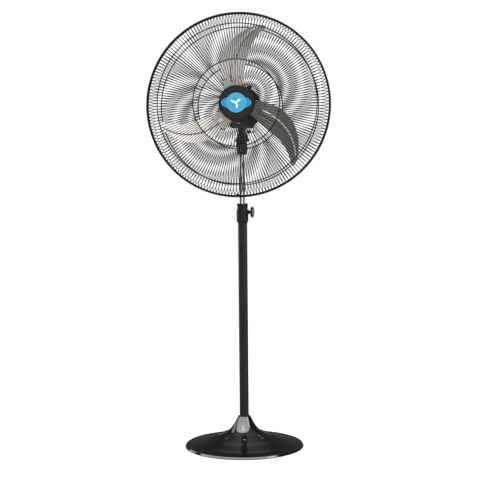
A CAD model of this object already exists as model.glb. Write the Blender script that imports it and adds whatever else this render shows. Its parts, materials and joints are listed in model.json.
"""Pedestal fan: the visible pieces and their finishes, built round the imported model.
Sizes are in millimetres and turned to metres as each piece is made."""

import json
import math

import bpy
from mathutils import Matrix, Vector

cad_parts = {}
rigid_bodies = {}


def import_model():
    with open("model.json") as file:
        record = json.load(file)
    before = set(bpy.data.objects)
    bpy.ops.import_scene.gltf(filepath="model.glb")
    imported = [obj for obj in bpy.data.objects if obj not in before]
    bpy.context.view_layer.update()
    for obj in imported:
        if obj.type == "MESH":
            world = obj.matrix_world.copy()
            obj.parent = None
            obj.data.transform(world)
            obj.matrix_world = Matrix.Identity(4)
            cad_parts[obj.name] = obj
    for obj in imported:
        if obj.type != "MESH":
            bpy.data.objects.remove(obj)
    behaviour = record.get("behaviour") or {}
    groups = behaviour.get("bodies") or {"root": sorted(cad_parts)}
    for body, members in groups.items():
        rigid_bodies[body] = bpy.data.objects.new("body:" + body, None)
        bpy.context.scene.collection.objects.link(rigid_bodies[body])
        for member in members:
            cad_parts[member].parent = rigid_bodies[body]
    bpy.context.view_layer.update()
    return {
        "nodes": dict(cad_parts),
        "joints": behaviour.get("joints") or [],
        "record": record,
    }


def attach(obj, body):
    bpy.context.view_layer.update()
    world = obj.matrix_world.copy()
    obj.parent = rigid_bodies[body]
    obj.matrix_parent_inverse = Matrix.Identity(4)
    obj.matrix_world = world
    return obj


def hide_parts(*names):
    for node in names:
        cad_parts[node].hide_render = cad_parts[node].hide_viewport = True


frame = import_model()

MM = 0.001
TURN = 2 * math.pi

# ---------------------------------------------------------------- places

joints = {joint["name"]: joint for joint in frame["joints"]}
RIM_PLANE = 145.0  # ahead of the neck's axis, along the fan's axis
AXLE_HEIGHT = 126.0

forward = Vector(joints["fan_spin"]["axis"])
upward = Vector(joints["oscillation"]["axis"])
sideways = Vector((1, 0, 0))
pivot = Vector(joints["head_tilt"]["pos_m"])
hub_centre = Vector(joints["fan_spin"]["pos_m"])


def frame_of(x, y, z, origin):
    matrix = Matrix((x, y, z)).transposed().to_4x4()
    matrix.translation = origin
    return matrix


UPRIGHT = Matrix.Identity(4)
AXLE = frame_of(sideways, upward, forward, hub_centre - forward * RIM_PLANE * MM)
NECK = frame_of(sideways, -forward, upward, pivot)
knob_axis = Vector(joints["height_clamp"]["axis"])
CLAMP_Z = joints["height_clamp"]["pos_m"][2] / MM
COLLAR = Matrix.Rotation(math.atan2(knob_axis.y, knob_axis.x), 4, "Z")
Z_TO_X = Matrix.Rotation(TURN / 4, 4, "Y")
Z_TO_Y = Matrix.Rotation(-TURN / 4, 4, "X")


def at(x, y, z):
    return Matrix.Translation(Vector((x, y, z)) * MM)


CLAMP = COLLAR @ at(0, 0, CLAMP_Z) @ Z_TO_X
TILT_BOLT = at(0, 0, pivot.z / MM) @ Z_TO_X

# ---------------------------------------------------------------- workshop


def clear_bench():
    if bpy.context.mode != "OBJECT":
        bpy.ops.object.mode_set(mode="OBJECT")
    bpy.ops.object.select_all(action="DESELECT")


def pick(piece):
    clear_bench()
    piece.select_set(True)
    bpy.context.view_layer.objects.active = piece


def draw_line(points):
    """A chain of edges through the points, left in edit mode."""
    clear_bench()
    bpy.ops.mesh.primitive_plane_add(size=MM)
    bpy.ops.object.mode_set(mode="EDIT")
    bpy.ops.mesh.select_all(action="SELECT")
    bpy.ops.mesh.merge(type="CENTER")
    here = Vector((0, 0, 0))
    for i, point in enumerate(points):
        step = Vector(point) * MM - here
        if i == 0:
            bpy.ops.transform.translate(value=step)
        else:
            bpy.ops.mesh.extrude_region_move(TRANSFORM_OT_translate={"value": step})
        here += step
    return bpy.context.object


def modify(piece, kind, **settings):
    pick(piece)
    modifier = piece.modifiers.new(kind.lower(), kind)
    for key, value in settings.items():
        setattr(modifier, key, value)
    bpy.ops.object.modifier_apply(modifier=modifier.name)
    return piece


def soften_edges(piece, width, segments=2, angle=35):
    return modify(
        piece,
        "BEVEL",
        width=width * MM,
        segments=segments,
        limit_method="ANGLE",
        angle_limit=math.radians(angle),
    )


def settle(piece, place, smooth=40):
    """Puts the piece's shape in its place and smooths it; the object stays at the origin."""
    pick(piece)
    bpy.ops.object.transform_apply(location=True, rotation=True, scale=True)
    piece.data.transform(place)
    bpy.ops.object.shade_smooth_by_angle(angle=math.radians(smooth))
    return piece


def turned(profile, steps=96, soften=0.0, place=UPRIGHT):
    """A profile of (radius, z) points turned about its own Z axis."""
    piece = draw_line([(r, 0, z) for r, z in profile])
    bpy.ops.mesh.select_all(action="SELECT")
    bpy.ops.mesh.spin(steps=steps, angle=TURN, center=(0, 0, 0), axis=(0, 0, 1))
    bpy.ops.mesh.select_all(action="SELECT")
    bpy.ops.mesh.remove_doubles(threshold=MM / 500)
    bpy.ops.mesh.normals_make_consistent(inside=False)
    bpy.ops.object.mode_set(mode="OBJECT")
    if soften:
        soften_edges(piece, soften)
    return settle(piece, place)


def rod(radius, low, high, steps=32, soften=0.3, place=UPRIGHT):
    return turned([(0, low), (radius, low), (radius, high), (0, high)], steps, soften, place)


def sleeve(outer, bore, low, high, steps=64, soften=0.3, place=UPRIGHT):
    section = [(bore, low), (outer, low), (outer, high), (bore, high), (bore, low)]
    return turned(section, steps, soften, place)


def block(low, high, soften=0.6, place=UPRIGHT):
    low, high = Vector(low) * MM, Vector(high) * MM
    clear_bench()
    bpy.ops.mesh.primitive_cube_add(size=1, location=(low + high) / 2, scale=high - low)
    piece = bpy.context.object
    bpy.ops.object.transform_apply(location=True, rotation=True, scale=True)
    if soften:
        soften_edges(piece, soften)
    return settle(piece, place)


def hexagon(radius, low, high, place=UPRIGHT):
    """A chamfered hexagonal prism."""
    clear_bench()
    bpy.ops.mesh.primitive_cylinder_add(
        vertices=6, radius=radius * MM, depth=(high - low) * MM, location=(0, 0, (low + high) / 2 * MM)
    )
    piece = bpy.context.object
    bpy.ops.object.transform_apply(location=True, rotation=True, scale=True)
    soften_edges(piece, 0.7, 2, 50)
    return settle(piece, place, 25)


def ring(radius, wire, z, place, steps=180, sides=10):
    clear_bench()
    bpy.ops.mesh.primitive_torus_add(
        major_radius=radius * MM,
        minor_radius=wire * MM,
        major_segments=steps,
        minor_segments=sides,
        location=(0, 0, z * MM),
    )
    return settle(bpy.context.object, place)


def bent_wire(points, radius):
    """A thin round wire along the points."""
    draw_line(points)
    bpy.ops.object.mode_set(mode="OBJECT")
    bpy.ops.object.convert(target="CURVE")
    curve = bpy.context.object.data
    curve.bevel_depth = radius * MM
    curve.bevel_resolution = 1
    curve.use_fill_caps = True
    bpy.ops.object.convert(target="MESH")
    return bpy.context.object


def around(piece, count, total=TURN):
    """Copies the piece round the Z axis."""
    clear_bench()
    bpy.ops.object.empty_add(rotation=(0, 0, total / count))
    marker = bpy.context.object
    modify(
        piece,
        "ARRAY",
        use_relative_offset=False,
        use_object_offset=True,
        offset_object=marker,
        count=count,
    )
    bpy.data.objects.remove(marker)
    return piece


def gather(pieces):
    """Joins separate meshes into the first one."""
    clear_bench()
    for piece in pieces:
        piece.select_set(True)
    bpy.context.view_layer.objects.active = pieces[0]
    bpy.ops.object.join()
    return pieces[0]


def work(piece, tools, operation):
    for tool in tools:
        modify(piece, "BOOLEAN", operation=operation, object=tool, solver="EXACT")
        bpy.data.objects.remove(tool)
    pick(piece)
    bpy.ops.object.shade_smooth_by_angle(angle=math.radians(35))
    return piece


def weld(piece, *others):
    return work(piece, others, "UNION")


def carve(piece, *tools):
    return work(piece, tools, "DIFFERENCE")


def bezier(a, b, c, d, count):
    """Points along a cubic curve in the (radius, z) plane."""
    points = []
    for i in range(count + 1):
        t = i / count
        weights = ((1 - t) ** 3, 3 * t * (1 - t) ** 2, 3 * t * t * (1 - t), t**3)
        points.append(tuple(sum(w * p[k] for w, p in zip(weights, (a, b, c, d))) for k in (0, 1)))
    return points


def arc(centre, radius, start, end, count):
    """Points round a centre in the (radius, z) plane, angles in degrees from the outward direction."""
    points = []
    for i in range(count + 1):
        a = math.radians(start + (end - start) * i / count)
        points.append((centre[0] + radius * math.cos(a), centre[1] + radius * math.sin(a)))
    return points


def fit(piece, name, body, slot, material, *nodes):
    """Names a finished piece, paints it and hangs it on its body in place of its CAD nodes."""
    piece.name = name
    piece.data.name = name
    piece.data.materials.clear()
    piece.data.materials.append(material)
    modify(piece, "WEIGHTED_NORMAL", keep_sharp=True)  # shades long faces evenly up to their soft edges
    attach(piece, body)
    if nodes:
        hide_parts(*nodes)
    return piece


# ---------------------------------------------------------------- finishes


def grain(nodes, links, coords, scale, stretch, detail):
    """Noise on the object's own coordinates, drawn out along an axis where it is brushed."""
    mapping = nodes.new("ShaderNodeMapping")
    mapping.inputs["Scale"].default_value = stretch
    noise = nodes.new("ShaderNodeTexNoise")
    noise.inputs["Scale"].default_value = scale
    noise.inputs["Detail"].default_value = detail
    links.new(coords.outputs["Object"], mapping.inputs["Vector"])
    links.new(mapping.outputs["Vector"], noise.inputs["Vector"])
    return noise


def finish(
    name,
    dark,
    light,
    roughness,
    metallic=0.0,
    tone_scale=9.0,
    fine_scale=900.0,
    bump=0.05,
    stretch=(1, 1, 1),
    coat=0.0,
    anisotropic=0.0,
    depth=0.0002,
    specular=0.5,
):
    """Colour that drifts between two tones, uneven roughness, and a fine surface grain."""
    material = bpy.data.materials.new(name)
    material.use_nodes = True
    nodes, links = material.node_tree.nodes, material.node_tree.links
    shader = nodes["Principled BSDF"]
    shader.inputs["Metallic"].default_value = metallic
    shader.inputs["Specular IOR Level"].default_value = specular
    shader.inputs["Coat Weight"].default_value = coat
    shader.inputs["Coat Roughness"].default_value = 0.05
    shader.inputs["Anisotropic"].default_value = anisotropic
    coords = nodes.new("ShaderNodeTexCoord")

    tone = grain(nodes, links, coords, tone_scale, (1, 1, 1), 4)
    colours = nodes.new("ShaderNodeValToRGB")
    colours.color_ramp.elements[0].position = 0.35
    colours.color_ramp.elements[0].color = (*dark, 1)
    colours.color_ramp.elements[1].position = 0.7
    colours.color_ramp.elements[1].color = (*light, 1)
    links.new(tone.outputs["Fac"], colours.inputs["Fac"])
    links.new(colours.outputs["Color"], shader.inputs["Base Color"])

    fine = grain(nodes, links, coords, fine_scale, stretch, 3)
    spread = nodes.new("ShaderNodeMapRange")
    spread.inputs["From Min"].default_value = 0.3
    spread.inputs["From Max"].default_value = 0.7
    spread.inputs["To Min"].default_value = roughness[0]
    spread.inputs["To Max"].default_value = roughness[1]
    blend = nodes.new("ShaderNodeMix")
    blend.inputs["Factor"].default_value = 0.45
    links.new(tone.outputs["Fac"], blend.inputs["A"])
    links.new(fine.outputs["Fac"], blend.inputs["B"])
    links.new(blend.outputs["Result"], spread.inputs["Value"])
    links.new(spread.outputs["Result"], shader.inputs["Roughness"])

    relief = nodes.new("ShaderNodeBump")
    relief.inputs["Strength"].default_value = bump
    relief.inputs["Distance"].default_value = depth
    links.new(fine.outputs["Fac"], relief.inputs["Height"])
    links.new(relief.outputs["Normal"], shader.inputs["Normal"])
    return material


base_gloss = finish(
    "base_gloss", (0.0022, 0.0022, 0.0024), (0.0036, 0.0036, 0.0038), (0.07, 0.15),
    tone_scale=6, fine_scale=260, bump=0.04,
)
column_satin = finish(
    "column_satin", (0.012, 0.012, 0.013), (0.017, 0.017, 0.018), (0.36, 0.48),
    tone_scale=14, fine_scale=1100, bump=0.18, specular=0.5,
)
wire_coat = finish(
    "wire_coat", (0.004, 0.004, 0.0045), (0.008, 0.008, 0.0085), (0.28, 0.42),
    tone_scale=30, fine_scale=700, bump=0.1, specular=0.3,
)
moulded_black = finish(
    "moulded_black", (0.010, 0.010, 0.0105), (0.015, 0.015, 0.0155), (0.48, 0.62),
    tone_scale=25, fine_scale=1700, bump=0.35, specular=0.3,
)
motor_enamel = finish(
    "motor_enamel", (0.005, 0.005, 0.0055), (0.010, 0.010, 0.0105), (0.3, 0.44),
    tone_scale=20, fine_scale=600, bump=0.2, specular=0.35,
)
soft_rubber = finish(
    "soft_rubber", (0.012, 0.012, 0.012), (0.024, 0.024, 0.023), (0.75, 0.92),
    tone_scale=40, fine_scale=900, bump=0.3,
)
rough_casting = finish(
    "rough_casting", (0.03, 0.03, 0.032), (0.07, 0.07, 0.072), (0.6, 0.85),
    metallic=0.4, tone_scale=35, fine_scale=500, bump=0.8, depth=0.0006,
)
bright_steel = finish(
    "bright_steel", (0.42, 0.42, 0.43), (0.60, 0.60, 0.61), (0.22, 0.38),
    metallic=1.0, tone_scale=60, fine_scale=900, bump=0.15,
)
tube_chrome = finish(
    "tube_chrome", (0.70, 0.71, 0.72), (0.80, 0.81, 0.82), (0.05, 0.13),
    metallic=1.0, tone_scale=18, fine_scale=420, bump=0.05, stretch=(1, 1, 0.05),
)
rolled_aluminium = finish(
    "rolled_aluminium", (0.70, 0.675, 0.64), (0.78, 0.755, 0.72), (0.38, 0.48),
    metallic=1.0, tone_scale=9, fine_scale=300, bump=0.04, stretch=(1, 1, 0.2), anisotropic=0.2,
)
cast_aluminium = finish(
    "cast_aluminium", (0.34, 0.34, 0.345), (0.50, 0.50, 0.505), (0.4, 0.6),
    metallic=1.0, tone_scale=40, fine_scale=500, bump=0.5,
)
yellow_brass = finish(
    "yellow_brass", (0.42, 0.28, 0.11), (0.66, 0.46, 0.20), (0.24, 0.42),
    metallic=1.0, tone_scale=90, fine_scale=700, bump=0.2,
)
copper_winding = finish(
    "copper_winding", (0.28, 0.12, 0.06), (0.48, 0.23, 0.12), (0.3, 0.5),
    metallic=0.8, tone_scale=60, fine_scale=300, bump=0.7, stretch=(1, 8, 1), depth=0.0008,
)
badge_blue = finish(
    "badge_blue", (0.006, 0.19, 0.40), (0.009, 0.22, 0.46), (0.3, 0.42),
    tone_scale=60, fine_scale=1500, bump=0.06, specular=0.3,
)
badge_light = finish(
    "badge_light", (0.025, 0.25, 0.43), (0.035, 0.29, 0.48), (0.3, 0.42),
    tone_scale=60, fine_scale=1500, bump=0.06, specular=0.3,
)
badge_pale = finish(
    "badge_pale", (0.12, 0.42, 0.62), (0.16, 0.48, 0.68), (0.3, 0.42),
    tone_scale=70, fine_scale=1500, bump=0.06, specular=0.3,
)
badge_white = finish(
    "badge_white", (0.62, 0.70, 0.74), (0.70, 0.76, 0.80), (0.35, 0.5),
    tone_scale=80, fine_scale=1500, bump=0.06,
)

SLOT_FINISHES = {
    "base_paint": base_gloss,
    "satin_paint": motor_enamel,
    "guard_coat": wire_coat,
    "black_plastic": moulded_black,
    "rubber": soft_rubber,
    "cast_iron": rough_casting,
    "steel": bright_steel,
    "chrome": tube_chrome,
    "blade_aluminium": rolled_aluminium,
    "cast_aluminium": cast_aluminium,
    "brass": yellow_brass,
    "laminations": copper_winding,
    "badge_blue": badge_blue,
}


def paint_inner_parts():
    """The parts that stay as the CAD made them get their real finishes."""
    for part in frame["record"]["subparts"]:
        mesh = frame["nodes"][part["node"]].data
        mesh.materials.clear()
        mesh.materials.append(SLOT_FINISHES[part["material_slot"]])


# ---------------------------------------------------------------- camera, floor and light

CAMERA_DISTANCE = 6.2
CAMERA_HEIGHT = 1.505
CAMERA_AZIMUTH = math.radians(5.74)
CAMERA_PITCH = math.radians(6.11)
CAMERA_ROLL = math.radians(0.53)
CAMERA_PAN = math.radians(0.1)


def set_camera():
    data = bpy.data.cameras.new("camera")
    data.lens = 116.7
    data.sensor_width = 36
    camera = bpy.data.objects.new("camera", data)
    bpy.context.scene.collection.objects.link(camera)
    place = Vector((math.sin(CAMERA_AZIMUTH), -math.cos(CAMERA_AZIMUTH), 0)) * CAMERA_DISTANCE
    place.z = CAMERA_HEIGHT
    turn = (
        Matrix.Rotation(CAMERA_AZIMUTH + CAMERA_PAN, 4, "Z")
        @ Matrix.Rotation(TURN / 4 - CAMERA_PITCH, 4, "X")
        @ Matrix.Rotation(-CAMERA_ROLL, 4, "Z")
    )
    camera.matrix_world = Matrix.Translation(place) @ turn
    bpy.context.scene.camera = camera


def soft_box(name, place, target, width, height, power, only=None, diffuse=True):
    """A rectangular lamp for everything, or for one group of pieces, with or without its diffuse light."""
    light = bpy.data.lights.new(name, "AREA")
    light.shape = "RECTANGLE"
    light.size, light.size_y = width, height
    light.energy = power
    lamp = bpy.data.objects.new(name, light)
    bpy.context.scene.collection.objects.link(lamp)
    lamp.location = place
    lamp.rotation_euler = (Vector(target) - Vector(place)).to_track_quat("-Z", "Y").to_euler()
    lamp.visible_diffuse = diffuse
    if only:
        lamp.light_linking.receiver_collection = only
        lamp.light_linking.blocker_collection = only


def group_of(name, starts, inside=True):
    """The pieces whose names start in one of the ways given, or all the others."""
    group = bpy.data.collections.new(name)
    for piece in bpy.data.objects:
        if piece.type == "MESH" and piece.name.startswith(starts) == inside:
            group.objects.link(piece)
    return group


def set_world():
    """An even white studio, with little but a faint ceiling to be seen in reflections."""
    world = bpy.data.worlds.new("studio")
    world.use_nodes = True
    bpy.context.scene.world = world
    nodes, links = world.node_tree.nodes, world.node_tree.links
    coords = nodes.new("ShaderNodeTexCoord")
    way = nodes.new("ShaderNodeSeparateXYZ")
    links.new(coords.outputs["Generated"], way.inputs["Vector"])
    ceiling = nodes.new("ShaderNodeMapRange")
    ceiling.interpolation_type = "SMOOTHSTEP"
    ceiling.inputs["From Min"].default_value = 0.6
    ceiling.inputs["From Max"].default_value = 0.95
    ceiling.inputs["To Min"].default_value = 0.09
    ceiling.inputs["To Max"].default_value = 0.9
    links.new(way.outputs["Z"], ceiling.inputs["Value"])
    white = nodes["Background"]
    white.inputs["Color"].default_value = (1, 1, 1, 1)
    white.inputs["Strength"].default_value = 1.06
    mirrored = nodes.new("ShaderNodeBackground")
    mirrored.inputs["Color"].default_value = (1, 0.98, 0.96, 1)
    links.new(ceiling.outputs["Result"], mirrored.inputs["Strength"])
    rays = nodes.new("ShaderNodeLightPath")
    choose = nodes.new("ShaderNodeMixShader")
    links.new(rays.outputs["Is Glossy Ray"], choose.inputs["Fac"])
    links.new(white.outputs["Background"], choose.inputs[1])
    links.new(mirrored.outputs["Background"], choose.inputs[2])
    links.new(choose.outputs["Shader"], nodes["World Output"].inputs["Surface"])


def set_floor():
    clear_bench()
    bpy.ops.mesh.primitive_circle_add(vertices=96, radius=300, fill_type="NGON")
    floor = bpy.context.object
    floor.name = "floor"
    floor.visible_glossy = False
    pale = bpy.data.materials.new("pale_floor")
    pale.use_nodes = True
    shader = pale.node_tree.nodes["Principled BSDF"]
    shader.inputs["Base Color"].default_value = (0.95, 0.95, 0.95, 1)
    shader.inputs["Roughness"].default_value = 1
    shader.inputs["Specular IOR Level"].default_value = 0
    floor.data.materials.append(pale)


def set_lights():
    """Soft boxes for nearly all the pieces, and cards that light one group of pieces alone."""
    bpy.context.scene.view_settings.view_transform = "Standard"  # keeps the white ground white
    others = group_of("all_but_blades", ("fan_blade", "blade_rivet", "extension_tube"), False)
    soft_box("key_box", (-0.4, -2.2, 3.7), (0, 0, 1.0), 1.6, 1.6, 40, others)
    soft_box("side_box", (3.0, -1.2, 2.0), (0, 0, 1.1), 1.0, 2.4, 40, others)
    soft_box("far_box", (-2.6, 1.2, 1.4), (0, 0, 1.0), 1.0, 2.4, 25, others)
    blades = group_of("blades", ("fan_blade", "blade_rivet"))
    soft_box("blade_box_right", (1.75, -1.8, 2.3), (0, -0.2, 1.4), 3.0, 3.0, 22, blades, False)
    soft_box("blade_box_top", (-0.3, -1.3, 3.4), (0, -0.2, 1.4), 3.0, 2.4, 23, blades, False)
    soft_box("blade_box_low", (0.3, -2.0, 0.2), (0, -0.2, 1.4), 3.0, 1.6, 4, blades, False)
    metal_names = ("extension_tube", "tilt_bolt", "tilt_lock", "neck_grub", "plate_screw")
    metal = group_of("bright_metal", metal_names)
    soft_box("tube_box_left", (-1.7, 1.7, 1.0), (0, 0, 1.1), 3.2, 1.6, 18, metal, False)
    soft_box("tube_box_right", (1.7, 1.7, 1.0), (0, 0, 1.1), 3.2, 1.6, 18, metal, False)
    soft_box("tube_box_front", (0.25, -2.5, 0.95), (0, 0, 1.1), 2.6, 2.4, 20, metal, False)
    knob = group_of("knob", ("height_knob_grip",))
    soft_box("knob_box", (0.85, 2.0, 0.75), (0.06, 0, 0.95), 1.6, 1.6, 20, knob, False)
    cone = group_of("cone_and_lip", ("base_cone", "base_lip", "base_rib"))
    soft_box("base_box", (-0.15, -1.0, 0.85), (0, 0, 0.1), 7, 2.2, 360, cone, False)


# ---------------------------------------------------------------- stand

TUBE_RADIUS = 12.5
SCREW_CIRCLE = 101
FACING = -TURN / 4 + CAMERA_AZIMUTH  # one base screw is in line with the front


def disc_height(radius):
    """Top of the base's disc: a shallow cone that flattens outwards, with two faint steps."""
    share = max(237.5 - radius, 0) / 169.5
    steps = 1.0 * (math.tanh((190 - radius) / 6) + math.tanh((134 - radius) / 6))
    return 8 + 50 * share**1.2 + steps * min(1, share * 3)


def make_base():
    disc = [(231 - 4 * i, disc_height(231 - 4 * i)) for i in range(40)]
    under = [(r, z - 2.4) for r, z in reversed(disc)]
    cover = turned([*disc, *under, disc[0]], 160)
    fit(cover, "base_disc", "stand", "base_paint", base_gloss, "base_cover")

    foot = disc_height(80) + 0.3
    outside = [(80, foot), *bezier((78, foot + 1), (56, 62.8), (35, 101), (26, 123), 16)]
    top = [*arc((24.4, 123.4), 1.6, 0, 90, 4), (18.9, 125), (18.9, 122.6), (23, 121)]
    inside = [(32.5, 98), (50, 66), (76, disc_height(76) + 0.2), (80, foot)]
    cone = turned([*outside, *top, *inside], 128)
    fit(cone, "base_cone", "stand", "base_paint", base_gloss)

    edge = disc_height(231)
    section = [
        (231, edge - 2.2), (236.6, 2), *arc((238.6, 2.9), 0.9, -90, 25, 4),
        *arc((234.6, 8.4), 1.6, 28, 110, 4), (231, edge + 0.1), (231, edge - 2.2),
    ]
    fit(turned(section, 160), "base_lip", "stand", "base_paint", base_gloss)

    for i in range(8):
        angle = FACING + TURN * i / 8
        spot = Matrix.Rotation(angle, 4, "Z") @ at(SCREW_CIRCLE, 0, disc_height(SCREW_CIRCLE) - 0.2)
        head = turned([(0, -1), (3.6, -1), (3.6, 0.5), (2.8, 1.6), (0, 1.9)], 24, 0, spot)
        slot_cut = block((-0.5, -3, 0.9), (0.5, 3, 3), 0, spot)
        fit(carve(head, slot_cut), f"base_screw_{i + 1}", "stand", "steel", bright_steel)
        inner, outer = 74, SCREW_CIRCLE - 6
        start = Vector((inner, 0, disc_height(inner) + 0.6))
        end = Vector((outer, 0, disc_height(outer) + 0.1))
        rib = bent_wire([start, (start + end) / 2, end], 1.1)
        settle(rib, Matrix.Rotation(angle, 4, "Z"))
        fit(rib, f"base_rib_{i + 1}", "stand", "base_paint", base_gloss)

    fit(sleeve(230, 214, 0, 6, 120, 1), "base_ring", "stand", "rubber", soft_rubber, "base_rubber_ring")
    fit(rod(22, 0, 3, 64, 0.6), "base_centre_pad", "stand", "rubber", soft_rubber, "centre_cap")


def make_column():
    outer = 18.5
    tube = sleeve(outer, 16, 36.6, 940, 96, 0.4)
    fit(tube, "column", "stand", "satin_paint", column_satin, "column_tube")

    profile = [
        (outer, 911), (20, 911), (23.5, 918), (23.5, 962.6), (20.8, 963.4), (20.8, 975.4),
        (21.7, 976.2), (21.7, 986.8), (20.6, 988), (13, 988), (13, 941), (outer, 941), (outer, 911),
    ]
    collar = turned(profile, 96, 0.35, COLLAR)
    boss = turned([(0, 19), (9.5, 19), (9.5, 23.6), (6.2, 30), (0, 30)], 40, 0.3, CLAMP)
    bore = rod(TUBE_RADIUS + 0.3, 900, 1000, 64, 0)
    screw_way = rod(4.4, 8, 40, 32, 0, CLAMP)
    carve(weld(collar, boss), bore, screw_way)
    fit(collar, "height_collar_body", "stand", "black_plastic", moulded_black, "height_collar")

    face = [(19.6, 45), (14, 44.2), (0, 43.6)]
    grip = turned([(0, 36), (20, 36), (21.5, 37.4), (21.5, 43), *face], 64, 0.25)
    notch = rod(3.2, 30, 50, 20, 0, at(23.6, 0, 0))
    carve(grip, around(notch, 10))
    neck = turned([(4.3, 30.5), (5, 30.5), (7.4, 36.6), (4.3, 36.6), (4.3, 30.5)], 32, 0.2)
    grip = gather([grip, neck])
    settle(grip, CLAMP)
    fit(grip, "height_knob_grip", "height_knob", "black_plastic", moulded_black, "height_knob")
    screw = threaded_rod(4, TUBE_RADIUS + 0.5, 36.4, 1.25, CLAMP)
    fit(screw, "height_knob_screw", "height_knob", "steel", bright_steel, "height_screw")


def threaded_rod(radius, low, high, pitch, place):
    """A rod whose profile rises and falls once for each turn of the thread."""
    count = int((high - low) / pitch)
    profile = [(0, low), (radius - 0.6, low)]
    for i in range(count):
        z = low + (i + 0.5) * pitch
        profile += [(radius, z - pitch * 0.1), (radius, z + pitch * 0.1), (radius - 0.5, z + pitch * 0.5)]
    profile += [(radius - 0.6, high), (0, high)]
    return turned(profile, 32, 0, place)


# ---------------------------------------------------------------- mast and tilting neck


def tab(radius, to_z, x_low, x_high, centre_z=0.0, soften=0.8):
    """A plate with one round end about the tilt axis and a straight end at to_z."""
    disc = rod(radius, x_low, x_high, 48, 0, at(0, 0, centre_z) @ Z_TO_X)
    low, high = sorted((0, to_z))
    bar = block((x_low, -radius, centre_z + low), (x_high, radius, centre_z + high), 0)
    return soften_edges(weld(disc, bar), soften, 2, 50)


def make_mast():
    tube = sleeve(TUBE_RADIUS, TUBE_RADIUS - 1.6, 700, 1207, 72, 0.3)
    fit(tube, "extension_tube", "mast", "chrome", tube_chrome, "inner_tube")

    cup = turned(
        [
            (0, 1207.3), (12.8, 1207.3), (12.8, 1184), (19.6, 1184), (21.2, 1186), (21.2, 1212),
            (17, 1218), (9, 1223), (0, 1224),
        ],
        72, 0.4,
    )
    pivot_z = pivot.z / MM
    left_ear = tab(14, 1212.5 - pivot_z, -20.5, -14.6, pivot_z)
    right_ear = tab(14, 1212.5 - pivot_z, 9, 20, pivot_z)
    web = block((-15, 13.6, 1208), (9.5, 16.4, pivot_z - 8), 0)
    fork = weld(cup, left_ear, right_ear)
    grub_place = at(0, 0, 1200) @ Z_TO_Y.inverted()
    screw_way = rod(3.3, 10, 30, 24, 0, grub_place)
    carve(fork, rod(5.3, -40, 40, 32, 0, TILT_BOLT), screw_way)
    fork = gather([fork, web])
    fit(fork, "neck_fork_casting", "mast", "black_plastic", moulded_black, "neck_fork")
    grub = rod(3, TUBE_RADIUS + 0.4, 20.6, 24, 0.2, grub_place)
    socket = hexagon(1.6, 18.6, 22, grub_place)
    fit(carve(grub, socket), "neck_grub_screw", "mast", "steel", bright_steel, "neck_set_screw")

    head = hexagon(8.5, -27, -21.9, TILT_BOLT)
    washer = sleeve(9.6, 5.3, -21.9, -20.6, 40, 0.2, TILT_BOLT)
    shank = threaded_rod(5, -22, 31, 1.5, TILT_BOLT)
    bolt = gather([head, washer, shank])
    fit(bolt, "tilt_bolt_and_washer", "mast", "brass", yellow_brass, "tilt_bolt")
    nut = carve(hexagon(8.5, 20.6, 27.4, TILT_BOLT), rod(5.3, 0, 40, 32, 0, TILT_BOLT))
    fit(nut, "tilt_lock_nut", "tilt_nut", "brass", yellow_brass, "tilt_nut")


def make_neck():
    tongue = tab(13, 22, -14.2, 8.6)
    table = rod(18, 16, 24, 48, 0.8)
    lug = block((4, 0, 16), (22, 26, 24), 1.2)
    stud = rod(3, 23, 30.4, 24, 0.3, at(13, 18, 0))
    arm = weld(tongue, table, lug, stud)
    carve(arm, rod(5.3, -40, 40, 32, 0, Z_TO_X), rod(8.3, 18, 26, 32, 0))
    settle(arm, NECK)
    fit(arm, "tilt_arm_casting", "neck", "satin_paint", motor_enamel, "tilt_arm")
    fit(rod(8, 18.4, 48, 40, 0.5, NECK), "swivel_pin", "neck", "steel", bright_steel, "swivel_post")

    link = weld(
        block((9, 18, 24.6), (17, 61, 28.6), 0.5),
        rod(7, 24.6, 28.6, 32, 0.5, at(13, 18, 0)),
        rod(7, 24.6, 28.6, 32, 0.5, at(13, 61, 0)),
    )
    carve(link, rod(3.3, 20, 32, 24, 0, at(13, 18, 0)), rod(3.3, 20, 32, 24, 0, at(13, 61, 0)))
    settle(link, NECK)
    fit(link, "oscillation_link_bar", "link", "steel", bright_steel, "oscillation_link")


# ---------------------------------------------------------------- motor

MOTOR_RADIUS = 76
MOTOR_BORE = 73
GEARBOX = at(25, 0, -61) @ Z_TO_Y  # the crank's axis, behind the axle's frame
SPEED_SWITCH = at(0, -38, 0)
CABLE_WAY = at(-32, -14, 0)


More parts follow.
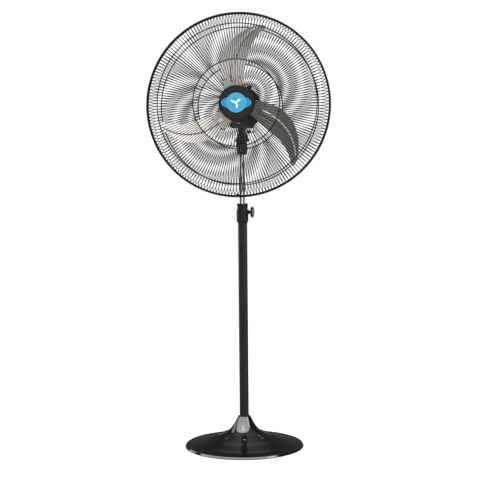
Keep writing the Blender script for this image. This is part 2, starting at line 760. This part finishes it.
def make_motor():
    profile = [
        (13, 53), (68, 53), (MOTOR_BORE, 47), (MOTOR_BORE, -20), (MOTOR_RADIUS, -20), (MOTOR_RADIUS, 44),
        *arc((68, 48), 8, 0, 90, 6)[1:], (60, 56), (58, 54.6), (46, 54.6), (44, 56), (28, 56),
        (28, 70), (13, 70), (13, 53),
    ]
    housing = turned(profile, 96, 0.5)
    fin = block((0, -1.1, -14), (78, 1.1, 40), 0.4, at(-2, 0, 0))
    carve(fin, rod(MOTOR_RADIUS - 1, -40, 80, 96, 0))
    housing = settle(gather([housing, around(fin, 40)]), AXLE)
    fit(housing, "motor_front_housing", "head", "satin_paint", motor_enamel, "motor_housing")

    cover = turned(
        [
            (0, -92), *arc((50, -74), 18, -90, -25, 5), *arc((58, -62), 18, -10, 0, 2),
            (MOTOR_RADIUS, -20.6), (MOTOR_BORE, -20.6), (MOTOR_BORE, -59), (66, -76), (49, -89), (0, -89),
        ],
        96, 0.4,
    )
    end_slots = around(block((40, -2.2, -98), (60, 2.2, -60), 0.8), 30)
    side_slots = around(block((70, -2.2, -52), (80, 2.2, -30), 0.8), 30)
    carve(cover, end_slots, side_slots)
    ways = [
        rod(5, -90, -60, 24, 0, GEARBOX),
        rod(3.8, 60, 90, 24, 0, GEARBOX),
        rod(4.2, -96, -84, 24, 0, SPEED_SWITCH),
        rod(4, -96, -84, 24, 0, CABLE_WAY),
    ]
    carve(cover, *ways)
    settle(cover, AXLE)
    fit(cover, "motor_back_cover", "head", "satin_paint", motor_enamel, "motor_rear_cover")
    for i in range(4):
        spot = AXLE @ Matrix.Rotation(TURN * (i + 0.5) / 4, 4, "Z") @ at(30, 0, -92)
        screw = turned([(0, -2.2), (2.4, -2), (3.6, -0.8), (3.6, 0.4), (0, 0.4)], 24, 0, spot)
        fit(screw, f"cover_screw_{i + 1}", "head", "steel", bright_steel)

    seat = rod(MOTOR_RADIUS + 0.4, -100, 100, 96, 0, at(0, 0, AXLE_HEIGHT) @ Z_TO_Y)
    bracket = weld(
        rod(15, 24.6, 60, 48, 0),
        block((-45, -38, 49), (45, 34, 68), 3),
        block((-12, -30, 34), (12, 26, 60), 2),
    )
    carve(bracket, seat, rod(11.2, 20, 48.8, 40, 0))
    soften_edges(bracket, 0.5, 2, 50)
    settle(bracket, NECK)
    fit(bracket, "motor_saddle", "head", "satin_paint", motor_enamel, "motor_bracket")
    for i in range(4):  # these hold the rear guard's back plate to the housing
        spot = AXLE @ Matrix.Rotation(TURN * (i / 4 - 0.267), 4, "Z") @ at(65, 0, 60)
        profile = [(0, 0), (4.6, 0), (4.6, 1.6), (3.6, 3), (2.4, 3.4), (2.2, 2.4), (0, 2.4)]
        screw = turned(profile, 24, 0, spot)
        fit(screw, f"plate_screw_{i + 1}", "head", "brass", yellow_brass)

    gland = turned([(3.6, -104), (6.4, -104), (7.4, -102), (7.4, -97), (3.6, -97), (3.6, -104)], 32, 0.3)
    gland_nut = carve(hexagon(8.4, -96.8, -92.4), rod(3.6, -110, -80, 24, 0))
    gland = settle(gather([gland, gland_nut]), AXLE @ CABLE_WAY)
    fit(gland, "cable_entry", "head", "black_plastic", moulded_black, "cable_gland")

    dial = turned([(0, -95.2), (17, -95.2), (17, -98), (14.6, -109), (0, -109)], 64, 0.5)
    flutes = around(rod(1.4, -110, -97.5, 12, 0, at(16.6, 0, 0)), 24)
    carve(dial, flutes)
    dial = gather([dial, block((-1.4, 4, -111), (1.4, 13, -108.6), 0.4), rod(3.3, -96, -85.2, 24, 0.2)])
    settle(dial, AXLE @ SPEED_SWITCH)
    fit(dial, "speed_dial", "speed_knob", "black_plastic", moulded_black, "speed_knob")

    stem = rod(3.1, 4.9, 85, 24, 0.2)
    button = turned([(0, 84), (7, 84), (9, 87.5), (9, 94.5), (7.6, 97.2), (0, 98)], 48, 0.4)
    pull = settle(gather([button, stem]), AXLE @ GEARBOX)
    fit(pull, "clutch_knob", "oscillation_knob", "black_plastic", moulded_black, "oscillation_knob")

    disc = rod(18, 33, 40, 48, 0.6)
    pin = rod(3, 29.4, 34, 24, 0.2, at(-12, 0, 0))
    crank = settle(gather([disc, pin]), NECK @ at(25, 61, 0))
    fit(crank, "crank_plate", "crank", "steel", bright_steel, "crank_disc")


# ---------------------------------------------------------------- guards

RIM_RADIUS = 356.1
OUTER_RING, INNER_RING = (310, 57.5), (167.5, 82.5)
WIRE = 1.35
RING_WIRE = 2.1
WIRES = 180


def guard_line(middle):
    """The bent line of a wire, as (radius, distance from the rim's plane)."""
    return [
        (RIM_RADIUS, 3.4), (351, 4.6), (345.5, 18), (334, 42), OUTER_RING,
        (270, 68.5), (215, 77.5), INNER_RING, *middle,
    ]


def guard(side, middle, name, node, extra):
    def line(points):
        return [(r, 0, RIM_PLANE + side * d) for r, d in points]

    full = around(bent_wire(line(guard_line(middle)), WIRE), WIRES // 2)
    short = bent_wire(line(guard_line([])), WIRE)
    settle(short, Matrix.Rotation(TURN / WIRES, 4, "Z"))
    short = around(short, WIRES // 2)
    inset = side * (WIRE + RING_WIRE) * 0.8
    rings = [
        ring(RIM_RADIUS, 2.9, RIM_PLANE + side * 3.3, UPRIGHT, 200),
        ring(OUTER_RING[0], RING_WIRE, RIM_PLANE + side * OUTER_RING[1] - inset, UPRIGHT, 200, 8),
        ring(INNER_RING[0], RING_WIRE, RIM_PLANE + side * INNER_RING[1] - inset, UPRIGHT, 140, 8),
    ]
    piece = gather([full, short, *rings, *extra])
    settle(piece, AXLE)
    piece.visible_glossy = False  # mirrored or shadowed, wires this thin only leave grains on the blades
    piece.visible_shadow = False
    fit(piece, name, "head", "guard_coat", wire_coat, node)


def make_guards():
    plate = sleeve(82, 30, 57.2, 60, 96, 0.5)
    guard(-1, [(125, 83.6), (80, 84.2)], "rear_grille", "rear_guard", [plate])
    centre = ring(58, WIRE + 0.3, 214, UPRIGHT, 90, 8)
    middle = [(128, 81.5), (100, 78), (84, 72.6), (72, 69.4), (58, 69)]
    guard(1, middle, "front_grille", "front_guard", [centre])

    nut = sleeve(41, 28.4, 60.3, 68.5, 96, 1)
    flutes = around(rod(3, 62.5, 72, 16, 0, at(43, 0, 0)), 18)
    settle(carve(nut, flutes), AXLE)
    fit(nut, "guard_lock_ring", "head", "black_plastic", moulded_black, "guard_ring_nut")

    lip, edge = 352.5, 361
    low, high = RIM_PLANE - 8, RIM_PLANE + 8
    section = [
        (lip, low + 0.3), *arc((edge - 3, low + 3), 3, -90, 0, 4), *arc((edge - 3, high - 3), 3, 0, 90, 4),
        (lip, high - 0.3), (lip, high - 1.5), (edge - 1.6, high - 1.5), (edge - 1.6, low + 1.5),
        (lip, low + 1.5), (lip, low + 0.3),
    ]
    band = turned(section, 220, 0)
    carve(band, block((-1.5, -370, low - 5), (1.5, -340, high + 5), 0))
    for x0, x1 in ((-5.5, -1.6), (1.6, 5.5)):
        band = gather([band, block((x0, -354.5, RIM_PLANE - 4), (x1, -347.5, RIM_PLANE + 4), 0.8)])
    settle(band, AXLE)
    fit(band, "rim_hoop", "head", "guard_coat", wire_coat, "rim_band")
    head = turned([(0, 5.6), (3.2, 5.6), (3.2, 7.4), (2, 8.4), (0, 8.4)], 24, 0.2, Z_TO_X)
    screw = gather([threaded_rod(1.7, -8, 6, 0.8, Z_TO_X), head])
    settle(screw, AXLE @ at(0, -350.5, RIM_PLANE))
    fit(screw, "rim_hoop_screw", "head", "steel", bright_steel, "band_screw")


def make_cap():
    cap = turned(
        [
            (0, 216.4), (67, 216.4), *arc((67.2, 217.6), 1.2, -80, 70, 5), (64.2, 219), (63.6, 218.3),
            (62.6, 218.3), (62, 219), (40, 218.7), (0, 218.6),
        ],
        120, 0.12, AXLE,
    )
    fit(cap, "front_cap_disc", "head", "black_plastic", moulded_black, "front_cap")
    back = turned([(0, 208.6), (64, 208.6), (66.4, 209.4), (66.4, 211.6), (0, 211.6)], 96, 0.4, AXLE)
    fit(back, "cap_clamp_plate", "head", "satin_paint", motor_enamel, "cap_back_plate")
    for i in range(3):
        spot = AXLE @ Matrix.Rotation(TURN * i / 3, 4, "Z") @ at(42, 0, 208.6)
        screw = turned([(0, -2.4), (2.6, -2), (3.8, -0.4), (3.8, 0.2), (0, 0.2)], 24, 0, spot)
        fit(screw, f"clamp_plate_screw_{i + 1}", "head", "steel", bright_steel)

    size = 37.6
    oval = Matrix.Diagonal((58.5 / size, 25 / size, 1, 1))
    profile = [(0, 219.2), (size, 219.2), (size, 220.4), (36.8, 220.9), (0, 220.9)]
    plate = turned(profile, 96, 0.1, AXLE @ oval)
    fit(plate, "badge_plate", "head", "badge_blue", badge_blue, "badge")
    rim = sleeve(36.6, 35.8, 220.8, 221.2, 96, 0.1, AXLE @ oval)
    fit(rim, "badge_border", "head", "badge_blue", badge_pale)
    disc = turned([(0, 220.2), (38.4, 220.2), (38.4, 221.2), (37.8, 221.5), (0, 221.5)], 96, 0.1, AXLE)
    fit(disc, "badge_field", "head", "badge_blue", badge_light)
    for k, radius in enumerate((37.2, 30.5, 24)):
        edge = ring(radius, 0.7, 221.5, AXLE, 96, 8)
        fit(edge, f"badge_ring_{k + 1}", "head", "badge_blue", badge_pale)
    petal_oval = Matrix.Diagonal((1.1, 0.55, 1, 1))
    for i in range(3):
        petal = turned([(0, 221.4), (8.2, 221.4), (8.2, 222.0), (0, 222.0)], 40, 0.1, petal_oval)
        settle(petal, AXLE @ Matrix.Rotation(TURN * i / 3 + 0.5, 4, "Z") @ at(12, 2.8, 0))
        fit(petal, f"badge_petal_{i + 1}", "head", "badge_blue", badge_white)
    boss = turned([(0, 221.4), (4.6, 221.4), (4.6, 222.1), (0, 222.1)], 32, 0.1, AXLE)
    fit(boss, "badge_boss", "head", "badge_blue", badge_white)


# ---------------------------------------------------------------- impeller

BLADE_ROOT, BLADE_TIP = 100, 325
SHEET_GAP = 1.3
RIVET_CIRCLE = 111


def trailing_angle(radius):
    u = (radius - BLADE_ROOT) / (BLADE_TIP - BLADE_ROOT)
    return -3 + 24 * u + 25 * u * u


def leading_angle(radius):
    u = (radius - BLADE_ROOT) / (BLADE_TIP - BLADE_ROOT)
    return 40 - 8 * u + 18 * u * u


def rib_angle(radius):
    u = max(radius - BLADE_ROOT, 0) / (BLADE_TIP - BLADE_ROOT)
    return 18 + 13 * u + 16 * u * u


def mix(a, b, t):
    return a + (b - a) * t


def sheet_point(radius, angle, lift):
    """A point on the twisted sheet, its angle in degrees clockwise seen from the front."""
    outward = max(radius, BLADE_ROOT)
    middle = (trailing_angle(outward) + leading_angle(outward)) / 2
    pitch = mix(0.56, 0.34, (outward - BLADE_ROOT) / (BLADE_TIP - BLADE_ROOT))
    depth = RIM_PLANE - pitch * radius * math.radians(angle - middle)
    a = math.radians(angle)
    side = lift * math.sin(math.atan(pitch))
    return Vector(
        (
            radius * math.cos(a) - side * math.sin(a),
            -radius * math.sin(a) - side * math.cos(a),
            depth + lift * math.cos(math.atan(pitch)),
        )
    )


def bent_sheet(rows, columns, point, thickness):
    """A flat grid laid on a curved surface: point(u, v) gives each place, u outwards and v across."""
    clear_bench()
    bpy.ops.mesh.primitive_grid_add(x_subdivisions=rows, y_subdivisions=columns, size=2)
    piece = bpy.context.object
    for vertex in piece.data.vertices:
        u, v = (vertex.co.x + 1) / 2, (vertex.co.y + 1) / 2
        vertex.co = point(u, v) * MM
    modify(piece, "SOLIDIFY", thickness=thickness * MM, offset=0)
    pick(piece)
    bpy.ops.object.mode_set(mode="EDIT")
    bpy.ops.mesh.select_all(action="SELECT")
    bpy.ops.mesh.normals_make_consistent(inside=False)
    bpy.ops.object.mode_set(mode="OBJECT")
    return piece


def blade_point(u, v):
    """The blade's surface, with a flat-topped rib pressed along it that narrows outwards."""
    root = mix(70, 58, v)
    tip = BLADE_TIP - 2 - 13 * abs(2 * v - 1) ** 3
    radius = mix(root, tip, u)
    shaped = max(radius, BLADE_ROOT)
    flare = 10 * max(0, 107 - radius) / 40
    angle = mix(trailing_angle(shaped) - flare, leading_angle(shaped), v)
    off_rib = abs(shaped * math.radians(angle - rib_angle(radius)))
    half_width = mix(9, 4, u)
    side = min(1, max(0, (half_width + 2.3 - off_rib) / 4.6))
    fade = min(1, max(0, (radius - 84) / 14)) * min(1, max(0, (314 - radius) / 20))
    return sheet_point(radius, angle, 0.8 + 4 * side * side * (3 - 2 * side) * fade)


def arm_point(u, v):
    """The hub's arm behind the blade's root, wide at the hub and waisted further out."""
    radius = mix(22, 122 - 10 * abs(2 * v - 1) ** 3, u)
    outwards = min(1, 2.2 * u)
    waist = 4 * math.sin(math.pi * u)
    angle = mix(mix(-30, -3, outwards) + waist, mix(60, 38, outwards) - waist, v)
    return sheet_point(radius, angle, -SHEET_GAP - 1.1)


def square_to_sheet(angle):
    foot = sheet_point(RIVET_CIRCLE, angle, 0)
    up = (sheet_point(RIVET_CIRCLE, angle, 1) - foot).normalized()
    turn = Vector((0, 0, 1)).rotation_difference(up).to_matrix().to_4x4()
    return at(*foot) @ turn


def make_impeller():
    for i in range(3):
        place = AXLE @ Matrix.Rotation(-TURN * i / 3, 4, "Z")
        blade = bent_sheet(64, 120, blade_point, 1.3)
        settle(blade, place, 60)
        fit(blade, f"fan_blade_{i + 1}", "impeller", "blade_aluminium", rolled_aluminium, f"blade_{i + 1}")
        for k, angle in enumerate((3, 31)):
            number = 2 * i + k + 1
            foot = [(0, -5.6), (4.6, -5.4), (6, -4.2), (3.1, -4.0)]
            profile = [*foot, (3.1, 1.7), (6.4, 1.7), (5.6, 3.4), (3.4, 4.3), (0, 4.6)]
            rivet = turned(profile, 32, 0, place @ square_to_sheet(angle))
            piece_name, node = f"blade_rivet_{number}", f"rivet_{number}"
            fit(rivet, piece_name, "impeller", "cast_aluminium", rolled_aluminium, node)

    boss = turned(
        [
            (6.3, 118), (31, 118), (34, 121), (34, 150), (31, 154), (25, 155), (24, 161), (22, 162),
            (6.3, 162), (6.3, 118),
        ],
        72, 0.4,
    )
    arms = []
    for i in range(3):
        arm = bent_sheet(20, 14, arm_point, 2.2)
        settle(arm, Matrix.Rotation(-TURN * i / 3, 4, "Z"))
        arms.append(arm)
    hub = settle(gather([boss, *arms]), AXLE)
    fit(hub, "hub_spider", "impeller", "satin_paint", motor_enamel, "fan_hub")
    shaft = rod(6, -80, 170, 48, 0.5, AXLE)
    fit(shaft, "drive_shaft", "impeller", "steel", bright_steel, "motor_shaft")
    nut = carve(hexagon(13, 162.4, 172), rod(6.3, 150, 180, 40, 0))
    fit(settle(nut, AXLE), "hub_nut", "impeller", "steel", bright_steel, "spinner_nut")


# ---------------------------------------------------------------- assembly

set_camera()
set_world()
set_floor()
paint_inner_parts()
make_base()
make_column()
make_mast()
make_neck()
make_motor()
make_guards()
make_cap()
make_impeller()
set_lights()
